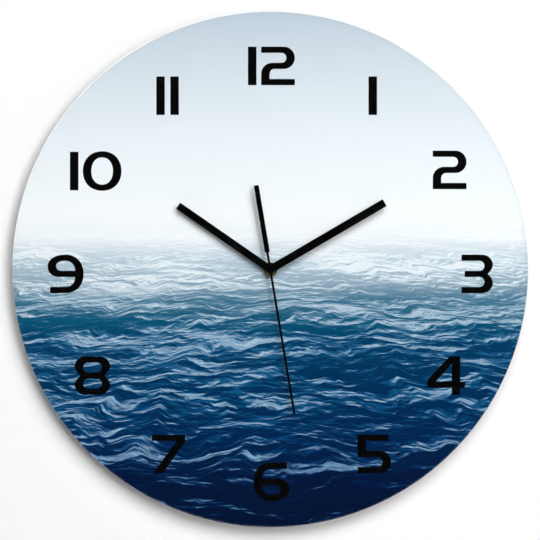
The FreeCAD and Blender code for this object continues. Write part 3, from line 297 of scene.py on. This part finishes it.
def turned_marks(g, place):
    """Rings left by the lathe tool, about the hand axis, broken by noise."""
    x, _, z = g.split(place)
    radius = g.math("SQRT", g.add(g.mul(x, x), g.mul(z, z)))
    wobble = g.noise(place, scale=900.0, detail=2.0)
    rings = g.math("SINE", g.add(g.mul(radius, TURN / RING_PITCH), g.mul(wobble, 3.0)))
    return g.add(g.mul(rings, 0.3), g.add(g.mul(wobble, 0.5), 0.25))


def rolled_marks(g, place):
    """Fine rolling lines, along Z."""
    return g.noise(g.scaled(place, 5200.0, 5200.0, 160.0), detail=3.0, rough=0.6)


def spangle_marks(g, place):
    """Zinc plated strip: faint crystal spangle over rolling lines."""
    spangle = g.split(g.cells(place, 260.0)["Color"])[0]
    lines = g.noise(g.scaled(place, 4200.0, 4200.0, 120.0), detail=3.0)
    return g.add(g.mul(spangle, 0.35), g.mul(lines, 0.65))


def sintered_marks(g, place):
    """Grains of a pressed and sintered magnet."""
    return g.noise(place, scale=3200.0, detail=3.0, rough=0.7)


def drawn_marks(g, place):
    """Long lines left by drawing, along X."""
    return g.noise(g.scaled(place, 90.0, 3600.0, 3600.0), detail=3.0)


# The sea picture, and the grey coat that covers its back

HORIZON = 27 * MM
DIAL_RADIUS = 200 * MM
MIST_ABOVE = -0.10
MIST_BELOW = 0.12
COAT_DEPTH = 0.1 * MM
COAT_TONES = ((0.36, 0.365, 0.365, 1), (0.42, 0.425, 0.42, 1))

# Tones of the water from the misty horizon (0) to the lower edge of the dial (1)
DARK_TONES = (
    (0.00, srgb(228, 238, 245)), (0.055, srgb(202, 218, 230)), (0.10, srgb(178, 200, 214)),
    (0.155, srgb(148, 175, 193)), (0.222, srgb(62, 114, 142)), (0.29, srgb(8, 84, 117)),
    (0.36, srgb(1, 58, 98)), (0.50, srgb(1, 47, 88)), (0.70, srgb(0, 36, 78)),
    (0.82, srgb(1, 22, 58)), (1.00, srgb(0, 17, 50)),
)
MID_TONES = (
    (0.00, srgb(242, 249, 253)), (0.055, srgb(233, 243, 249)), (0.10, srgb(227, 239, 246)),
    (0.155, srgb(214, 228, 238)), (0.222, srgb(124, 160, 183)), (0.29, srgb(70, 122, 154)),
    (0.36, srgb(44, 107, 149)), (0.50, srgb(14, 87, 132)), (0.70, srgb(8, 70, 120)),
    (0.82, srgb(2, 40, 88)), (1.00, srgb(2, 30, 72)),
)
LIGHT_TONES = (
    (0.00, srgb(250, 254, 255)), (0.055, srgb(247, 252, 255)), (0.10, srgb(242, 249, 254)),
    (0.155, srgb(243, 250, 255)), (0.222, srgb(212, 229, 241)), (0.29, srgb(204, 226, 241)),
    (0.36, srgb(182, 209, 229)), (0.50, srgb(170, 203, 227)), (0.72, srgb(158, 194, 221)),
    (0.82, srgb(112, 160, 197)), (1.00, srgb(68, 132, 178)),
)

# Tones of the sky from the horizon (0) to the top of the dial (1)
SKY_TONES = (
    (0.00, srgb(251, 255, 255)), (0.12, srgb(249, 254, 255)), (0.42, srgb(236, 244, 250)),
    (0.68, srgb(219, 229, 237)), (1.00, srgb(193, 207, 220)),
)

# The sea runs away in rows of waves that shrink towards the horizon
NEAREST_REACH = 0.03
FAR_REACH = 0.20
ROWS = 11.7
COLUMNS = 2.45
SPREAD_SHARE = 0.75

# Noises over the water: how often they repeat per column and per row, and a seed
BROAD_FIELD = (0.40, 0.30, 4.3)
SWELL_FIELD = (0.36, 0.36, 4.3)
PATCH_FIELD = (0.34, 0.36, 6.1)
GRAIN_FIELD = (3.4, 6.5, 44.1)
FLECK_FIELD = (5.0, 10.5, 51.7)
WIDE_THREADS = (1.7, 3.8, 31.2)
FINE_THREADS = (3.4, 8.4, 11.2)

# Lines of sharp peaks that lift the water: a noise and the lift
PEAKS = (((0.75, 0.25, 2.2), 0.55), ((2.1, 0.6, 5.1), 0.20), ((5.6, 1.8, 13.3), 0.06))
PEAK_WIDTH = 0.22
BROAD_LIFT = 1.8

# Wave families: a noise, its detail, how far its rows lean, crest width and height
WAVES = (
    ((1.0, 0.80, 12.9), 1.5, 0.0, 0.26, 0.72),
    ((2.6, 2.0, 21.4), 1.5, 0.35, 0.24, 0.23),
    ((4.6, 5.8, 7.7), 2.0, -0.30, 0.23, 0.088),
)
SWELL_HEIGHT = 2.0
SLOPE_STEP = 0.06

# Threads of light: widths, how strong the fine ones are, and their share of the gleam
WIDE_THREAD_WIDTH = 0.030
FINE_THREAD_WIDTH = 0.034
FINE_THREAD_STRENGTH = 0.9
THREAD_SHARE = 0.5

# How much the slope of the water and the broad patches of light weigh in its brightness
SLOPE_WEIGHT = 0.58
PATCH_WEIGHT = 4.2
PATCH_MIDDLE = 0.54
GRAIN_WEIGHT = 1.5
FLECK_WEIGHT = 1.7

# Brightness at which the water goes from dark to middling, and from there to pale
BODY_RANGE = (-0.72, 0.40)
SHEEN_RANGE = (0.10, 0.95)

# Broad bands that add to the brightness: share of the way down where each starts and ends, and amount
BANDS = ((0.52, 0.60, -0.26), (0.63, 0.69, 0.36), (0.76, 0.86, -0.82))


def field(g, columns, rows, repeats, detail=1.0, rough=0.5):
    """A noise over the water."""
    across, along, seed = repeats
    place = g.xyz(g.mul(columns, across), g.mul(rows, along), seed)
    return g.noise(place, detail=detail, rough=rough)


def crest(g, value, width):
    """1 along the lines where a noise is at its middle, falling straight to 0 beside them."""
    away = g.math("ABSOLUTE", g.sub(value, 0.5))
    return g.math("MAXIMUM", g.sub(1.0, g.mul(away, 1.0 / width)), 0.0)


def weighed(g, value, middle, weight):
    """A noise turned into more or less brightness about its middle."""
    return g.mul(g.sub(value, middle), weight)


def lifted(g, columns, rows):
    """Rows of the water that show at a place: a peak stands higher in the picture by its own height."""
    broad = field(g, columns, rows, BROAD_FIELD)
    rows = g.add(rows, weighed(g, broad, 0.5, BROAD_LIFT))
    for repeats, lift in PEAKS:
        line = field(g, columns, rows, repeats, rough=0.4)
        rows = g.add(rows, g.mul(crest(g, line, PEAK_WIDTH), lift))
    return rows


def wave_height(g, columns, rows):
    """Height of the water: a broad swell and the crests of each wave family."""
    total = g.mul(field(g, columns, rows, SWELL_FIELD), SWELL_HEIGHT)
    for repeats, detail, lean, width, height in WAVES:
        leaning = g.add(rows, g.mul(columns, lean))
        line = field(g, columns, leaning, repeats, detail=detail)
        total = g.add(total, g.mul(crest(g, line, width), height))
    return total


def streaks(g, columns, rows):
    """Thin bright threads of light between the waves."""
    wide = crest(g, field(g, columns, rows, WIDE_THREADS, detail=2.0), WIDE_THREAD_WIDTH)
    fine = crest(g, field(g, columns, rows, FINE_THREADS, detail=1.5), FINE_THREAD_WIDTH)
    return g.math("MAXIMUM", wide, g.mul(fine, FINE_THREAD_STRENGTH))


def water_light(g, columns, rows, share):
    """Brightness of the water: dark wave fronts, bright backs, broad patches and broad bands."""
    beyond = wave_height(g, columns, g.sub(rows, SLOPE_STEP))
    front = g.mul(g.sub(beyond, wave_height(g, columns, rows)), 1.0 / SLOPE_STEP)
    patches = field(g, columns, rows, PATCH_FIELD, detail=1.5)
    light = g.sub(weighed(g, patches, PATCH_MIDDLE, PATCH_WEIGHT), g.mul(front, SLOPE_WEIGHT))
    for start, end, amount in BANDS:
        light = g.add(light, g.fit(share, start, end, 0.0, amount))
    return light


def sea_colour(g, place):
    """Sky, mist and a sea whose wave fronts are dark and whose backs and crests mirror the sky."""
    x, _, z = g.split(place)
    below = g.math("DIVIDE", g.sub(HORIZON, z), DIAL_RADIUS)
    share = g.mul(below, DIAL_RADIUS / (HORIZON + DIAL_RADIUS))
    reach = g.math("MAXIMUM", g.add(below, FAR_REACH), NEAREST_REACH)
    rows = g.mul(g.math("LOGARITHM", reach, math.e), ROWS)
    spread = g.math("POWER", reach, SPREAD_SHARE)
    columns = g.math("DIVIDE", g.mul(x, COLUMNS / DIAL_RADIUS), spread)
    rows = lifted(g, columns, rows)

    light = water_light(g, columns, rows, share)
    grain = field(g, columns, rows, GRAIN_FIELD, detail=2.5, rough=0.6)
    body = g.fit(g.add(light, weighed(g, grain, 0.5, GRAIN_WEIGHT)), *BODY_RANGE)
    flecks = field(g, columns, rows, FLECK_FIELD, detail=2.0, rough=0.55)
    sheen = g.fit(g.add(light, weighed(g, flecks, 0.5, FLECK_WEIGHT)), *SHEEN_RANGE)
    threads = g.mul(streaks(g, columns, rows), THREAD_SHARE)
    bright = g.mul(sheen, g.add(1.0 - THREAD_SHARE, threads))

    dark, mid, pale = (g.ramp(share, tones) for tones in (DARK_TONES, MID_TONES, LIGHT_TONES))
    water = g.mix(bright, g.mix(body, dark, mid), pale)
    height = g.math("DIVIDE", g.sub(z, HORIZON), DIAL_RADIUS - HORIZON)
    return g.mix(g.fit(below, MIST_ABOVE, MIST_BELOW), g.ramp(height, SKY_TONES), water)


def sea_print(name):
    """The printed film: the picture on its front and the cover coat on its back."""
    made, g = material(name)
    place = g.place()
    cloud = g.noise(place, scale=9.0, detail=3.0)
    grain = g.noise(place, scale=900.0, detail=3.0)
    coat = g.mix(g.fit(g.add(g.mul(cloud, 0.6), g.mul(grain, 0.4)), 0.3, 0.7), *COAT_TONES)
    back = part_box("picture_print")[1].y
    behind = g.math("GREATER_THAN", g.split(place)[1], back - COAT_DEPTH)
    colour = g.mix(behind, sea_colour(g, place), coat)
    peel = g.noise(place, scale=1800.0, detail=2.0)
    roughness = g.fit(peel, 0.3, 0.7, 0.55, 0.68)
    normal = g.bump(peel, 0.1, 0.01 * MM)
    g.surface(g.principled(Base_Color=colour, Roughness=roughness, Normal=normal, Specular_IOR_Level=0.0))
    return made


# Glass

def lamps_through(g, shader, tint):
    """The shader for what looks at the glass, and clear to what lamps and soft light send through it."""
    path = g.path()
    passing = g.math("MAXIMUM", path["Is Shadow Ray"], path["Is Diffuse Ray"])
    clear = g.node("ShaderNodeBsdfTransparent", {"Color": tint}).outputs[0]
    return g.choose(passing, shader, clear)


def clear_glass(name):
    """The faces of the pane: clear and polished, with a trace of haze."""
    made, g = material(name)
    haze = g.noise(g.place(), scale=60.0, detail=4.0)
    roughness = g.fit(haze, 0.45, 0.75, 0.0, 0.012)
    glass = g.principled(Base_Color=GLASS_BODY, Roughness=roughness, IOR=GLASS_IOR, Transmission_Weight=1.0)
    g.surface(lamps_through(g, glass, GLASS_PASSED))
    return made


def edge_glass(name, pale, deep):
    """The polished rim: it lets light in from outside and turns back most of what would leave there."""
    made, g = material(name)
    marks = g.noise(g.scaled(g.place(), 700.0, 4200.0, 700.0), detail=3.0)
    colour = g.mix(g.fit(marks, 0.3, 0.7), deep, pale)
    roughness = g.fit(marks, 0.3, 0.7, 0.02, 0.05)
    normal = g.bump(marks, 0.05, 0.006 * MM)
    glass = g.principled(
        Base_Color=colour, Roughness=roughness, Normal=normal, IOR=GLASS_IOR, Transmission_Weight=1.0)
    g.surface(lamps_through(g, glass, g.mix(g.backfacing(), RIM_LEAVING, RIM_ENTERING)))
    return made


def new_object(name, data):
    """A new object in the scene."""
    made = bpy.data.objects.new(name, data)
    bpy.context.scene.collection.objects.link(made)
    return made


def lathe(name, profile, segments):
    """A closed ring turned about the hand axis from (radius, depth, material number) corners."""
    mesh = bpy.data.meshes.new(name)
    made = bmesh.new()
    rows = []
    for step in range(segments):
        angle = TURN * step / segments
        across, up = math.cos(angle), math.sin(angle)
        ring = [(radius * across, depth, radius * up) for radius, depth, _ in profile]
        rows.append([made.verts.new(corner) for corner in ring])
    for step in range(segments):
        here, ahead = rows[step], rows[(step + 1) % segments]
        for corner in range(len(profile)):
            after = (corner + 1) % len(profile)
            face = made.faces.new((here[corner], ahead[corner], ahead[after], here[after]))
            face.material_index = profile[corner][2]
    bmesh.ops.recalc_face_normals(made, faces=made.faces)
    made.to_mesh(mesh)
    made.free()
    return new_object(name, mesh)


def quarter_round(across, depth, radius, first):
    """Corners of a quarter circle about a centre, from the first angle on."""
    corners = []
    for step in range(GLASS_RIM_STEPS + 1):
        angle = first + TURN / 4 * step / GLASS_RIM_STEPS
        corners.append((across + radius * math.cos(angle), depth + radius * math.sin(angle), GLASS_EDGE))
    return corners


def rounded_rim(outer, front, back):
    """Corners of the rim: a wide round at the front, a flat land and a small round at the back."""
    wide, small = GLASS_FRONT_ROUND, GLASS_BACK_ROUND
    facing = quarter_round(outer - wide, front + wide, wide, -TURN / 4)
    hidden = quarter_round(outer - small, back - small, small, 0.0)
    facing[-1] = facing[-1][:2] + (GLASS_LAND,)
    hidden[-1] = hidden[-1][:2] + (GLASS_FACE,)
    return facing + hidden


def glass_pane(face_finish, round_finish, land_finish):
    """The pane with its rounded rim and its bore, in the place of the CAD disc."""
    low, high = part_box("glass_disc")
    outer = min(high.x, high.z, -low.x, -low.z)
    front, back = low.y, high.y - GLASS_BACK_GAP
    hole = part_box("threaded_bush")[1].x + GLASS_HOLE_PLAY
    arris = GLASS_HOLE_ARRIS
    bore = [
        (hole + arris, back, GLASS_EDGE), (hole, back - arris, GLASS_EDGE),
        (hole, front + arris, GLASS_EDGE), (hole + arris, front, GLASS_FACE),
    ]
    pane = lathe("glass_pane", rounded_rim(outer, front, back) + bore, GLASS_SEGMENTS)
    for face in pane.data.polygons:
        face.use_smooth = face.material_index != GLASS_FACE
    for finish in (face_finish, round_finish, land_finish):
        pane.data.materials.append(finish)
    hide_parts("glass_disc")
    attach(pane, "clock")


# Dressing of the CAD nodes

def dress(nodes, finishes):
    """Gives every CAD node the finish of its material slot in the record."""
    for node in nodes:
        finish = finishes[node.data.materials[0].name]
        for slot in node.material_slots:
            slot.link = "OBJECT"
            slot.material = finish


def soften(node, width):
    """Rounds a CAD node's sharp edges without touching its own vertices."""
    weld = node.modifiers.new("weld", "WELD")
    weld.merge_threshold = WELD_DISTANCE
    flat = node.modifiers.new("flat", "DECIMATE")
    flat.decimate_type = "DISSOLVE"
    flat.angle_limit = FLAT_ANGLE
    bevel = node.modifiers.new("soft_edges", "BEVEL")
    bevel.width = width
    bevel.segments = EDGE_SEGMENTS
    bevel.limit_method = "ANGLE"
    bevel.angle_limit = EDGE_ANGLE
    bevel.harden_normals = True
    for polygon in node.data.polygons:
        polygon.use_smooth = True


# Stage, lamps and camera

def plane(name, corners, finish):
    """A flat piece of the stage."""
    mesh = bpy.data.meshes.new(name)
    mesh.from_pydata(corners, [], [tuple(range(len(corners)))])
    mesh.materials.append(finish)
    new_object(name, mesh)


def wall_paint(name):
    """White wall for the front view: clear from behind, to mirrors, and to lamps that light a surface."""
    made, g = material(name)
    path = g.path()
    first_hit = g.math("LESS_THAN", path["Diffuse Depth"], 0.5)
    passing = g.math("MAXIMUM", path["Is Glossy Ray"], g.mul(path["Is Shadow Ray"], first_hit))
    passing = g.math("MAXIMUM", passing, g.backfacing())
    paint = g.principled(Base_Color=WALL_WHITE, Roughness=0.9, Specular_IOR_Level=0.0)
    g.surface(g.choose(passing, paint, g.node("ShaderNodeBsdfTransparent").outputs[0]))
    return made


def floor_paint(name):
    """Pale floor: paint that keeps the shadow, with a white glow added for the eye, mirrors and glass."""
    made, g = material(name)
    grain = g.noise(g.place(), scale=30.0, detail=3.0)
    colour = g.mix(grain, FLOOR_DULL, FLOOR_PALE)
    paint = g.principled(Base_Color=colour, Roughness=0.8, Specular_IOR_Level=0.1)
    path = g.path()
    seen = g.math("MAXIMUM", path["Is Camera Ray"], path["Is Glossy Ray"])
    seen = g.math("MAXIMUM", seen, path["Is Transmission Ray"])
    glow = g.node("ShaderNodeEmission", {"Color": WHITE, "Strength": g.mul(seen, FLOOR_GLOW)}).outputs[0]
    g.surface(g.node("ShaderNodeAddShader", {0: paint, 1: glow}).outputs[0])
    return made


def oblong(half, low, high):
    """Corners of a rectangle that is as wide to the left as to the right."""
    return (-half, low), (half, low), (half, high), (-half, high)


def make_stage():
    """The wall right behind the clock and a floor well below it."""
    half = WALL_WIDTH / 2
    wall = [(x, WALL_GAP, z) for x, z in oblong(half, FLOOR_LEVEL, WALL_TOP)]
    floor = [(x, y, FLOOR_LEVEL) for x, y in oblong(half, -FLOOR_DEPTH, FLOOR_DEPTH)]
    plane("wall", wall, wall_paint("wall_paint"))
    plane("floor", floor, floor_paint("floor_paint"))


def lamp(name, place, size, power, lights):
    """An oval soft lamp."""
    data = bpy.data.lights.new(name, "AREA")
    data.shape = "ELLIPSE"
    data.size, data.size_y = size
    data.energy = power
    made = new_object(name, data)
    made.location = place
    made.rotation_euler = (-Vector(place)).to_track_quat("-Z", "Y").to_euler()
    made.visible_camera = False
    made.visible_glossy = lights != "surfaces"
    made.visible_transmission = lights != "surfaces"
    made.visible_diffuse = lights != "mirrors"


def make_world():
    """White room for the camera; dim for reflections in a cone behind the camera; even soft light."""
    world = bpy.data.worlds.new("studio")
    bpy.context.scene.world = world
    world.use_nodes = True
    world.node_tree.nodes.clear()
    g = Graph(world.node_tree)
    direction = g.node("ShaderNodeTexCoord").outputs["Generated"]
    towards_camera = g.mul(g.split(direction)[1], -1.0)
    cone = g.fit(towards_camera, DARK_CONE_EDGE, DARK_CONE_CORE, 1.0, ROOM_BEHIND_CAMERA)
    path = g.path()
    mirrored = g.math("MAXIMUM", path["Is Glossy Ray"], path["Is Transmission Ray"])
    level = g.add(path["Is Camera Ray"], g.mul(mirrored, cone))
    level = g.math("MAXIMUM", level, g.mul(g.sub(1.0, mirrored), AMBIENT))
    background = g.node("ShaderNodeBackground", {"Color": WHITE, "Strength": level}).outputs[0]
    g.node("ShaderNodeOutputWorld", {"Surface": background})


def make_camera():
    """The camera as far away as gives the dial its width and place in the picture."""
    low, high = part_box("glass_disc")
    pixel = (high.x - low.x) / DIAL_WIDTH_PX
    distance = IMAGE_WIDTH_PX * pixel * LENS_MM / SENSOR_MM
    data = bpy.data.cameras.new("camera")
    data.lens = LENS_MM
    data.sensor_width = SENSOR_MM
    offset_x = (IMAGE_WIDTH_PX / 2 - DIAL_CENTRE_PX[0]) * pixel
    offset_z = (DIAL_CENTRE_PX[1] - IMAGE_WIDTH_PX / 2) * pixel
    made = new_object("camera", data)
    made.location = (offset_x, low.y - distance, offset_z)
    made.rotation_euler = (math.pi / 2, 0, 0)
    bpy.context.scene.camera = made


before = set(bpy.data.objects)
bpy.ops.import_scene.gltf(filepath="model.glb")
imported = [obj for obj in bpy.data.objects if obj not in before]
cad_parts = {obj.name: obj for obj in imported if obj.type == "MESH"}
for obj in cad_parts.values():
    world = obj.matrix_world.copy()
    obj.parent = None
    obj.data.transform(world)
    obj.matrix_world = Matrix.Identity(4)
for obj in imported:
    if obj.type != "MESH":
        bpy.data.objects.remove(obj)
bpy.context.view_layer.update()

finishes = {
    "clear_glass": clear_glass("float_glass"),
    "sea_print": sea_print("sea_print_film"),
    "black_ink": ink("numeral_ink"),
    "hand_black": painted_hand("hand_paint"),
    "hub_black": painted_hand("hub_paint"),
    # Painted shade: the nut's brass is given a dark olive colour that stands for the shade of the hands and
    # the dark room it mirrors, on top of real turned brass
    "nut_brass": metal("turned_brass_painted_shade", (0.19, 0.165, 0.085, 1), 0.15, turned_marks, depth=0.0015),
    "washer_rubber": rubber("cut_rubber"),
    "hanger_steel": metal("plated_strip", (0.50, 0.51, 0.52, 1), 0.36, spangle_marks),
    "case_plastic": moulded(
        "case_skin", srgb(27, 27, 29), rough=0.5, grain=1500.0, grain_depth=0.04, tone=0.16),
    "knob_plastic": moulded("knob_skin", srgb(33, 33, 35), rough=0.4, grain=1900.0),
    "wheel_plastic": moulded(
        "acetal", (0.80, 0.78, 0.71, 1), rough=0.36, grain=2600.0, grain_depth=0.006),
    "red_wheel_plastic": moulded(
        "red_acetal", (0.50, 0.05, 0.035, 1), rough=0.36, grain=2600.0, grain_depth=0.006),
    "arbor_steel": metal("turned_steel", (0.60, 0.60, 0.61, 1), 0.24, turned_marks),
    "magnet_ferrite": metal("sintered_magnet", (0.09, 0.09, 0.10, 1), 0.55, sintered_marks, depth=0.02),
    "stator_iron": metal("soft_iron", (0.50, 0.50, 0.50, 1), 0.38, rolled_marks),
    "bobbin_plastic": moulded("bobbin_skin", (0.72, 0.68, 0.56, 1), rough=0.4),
    "winding_copper": metal("enamelled_wire", (0.72, 0.27, 0.11, 1), 0.28, drawn_marks, depth=0.03),
    "bridge_plastic": moulded("bridge_skin", (0.78, 0.77, 0.71, 1), rough=0.4, grain=2000.0),
    "screw_steel": metal("plated_screw", (0.68, 0.68, 0.66, 1), 0.26, rolled_marks),
    "board_laminate": moulded("paper_laminate", (0.36, 0.22, 0.08, 1), rough=0.5, tone=0.18),
    "chip_epoxy": moulded("epoxy_blob", srgb(18, 18, 19), rough=0.3),
    "crystal_metal": metal("drawn_can", (0.75, 0.75, 0.74, 1), 0.22, drawn_marks),
    "contact_steel": metal("nickel_spring_steel", (0.72, 0.70, 0.64, 1), 0.26, rolled_marks),
    "battery_can": metal("nickel_can", (0.70, 0.70, 0.68, 1), 0.24, drawn_marks),
    "battery_wrap": moulded(
        "shrink_sleeve", (0.03, 0.16, 0.20, 1), rough=0.22, grain=300.0, grain_depth=0.01),
}
dress(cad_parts.values(), finishes)
rim_round = edge_glass("polished_round", *ROUND_TINTS)
rim_land = edge_glass("polished_land", *LAND_TINTS)
glass_pane(finishes["clear_glass"], rim_round, rim_land)
for name, width in HAND_EDGES.items():
    soften(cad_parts[name], width)

make_stage()
for row in LAMPS:
    lamp(*row)
make_world()
make_camera()
bpy.context.scene.view_settings.view_transform = "Standard"
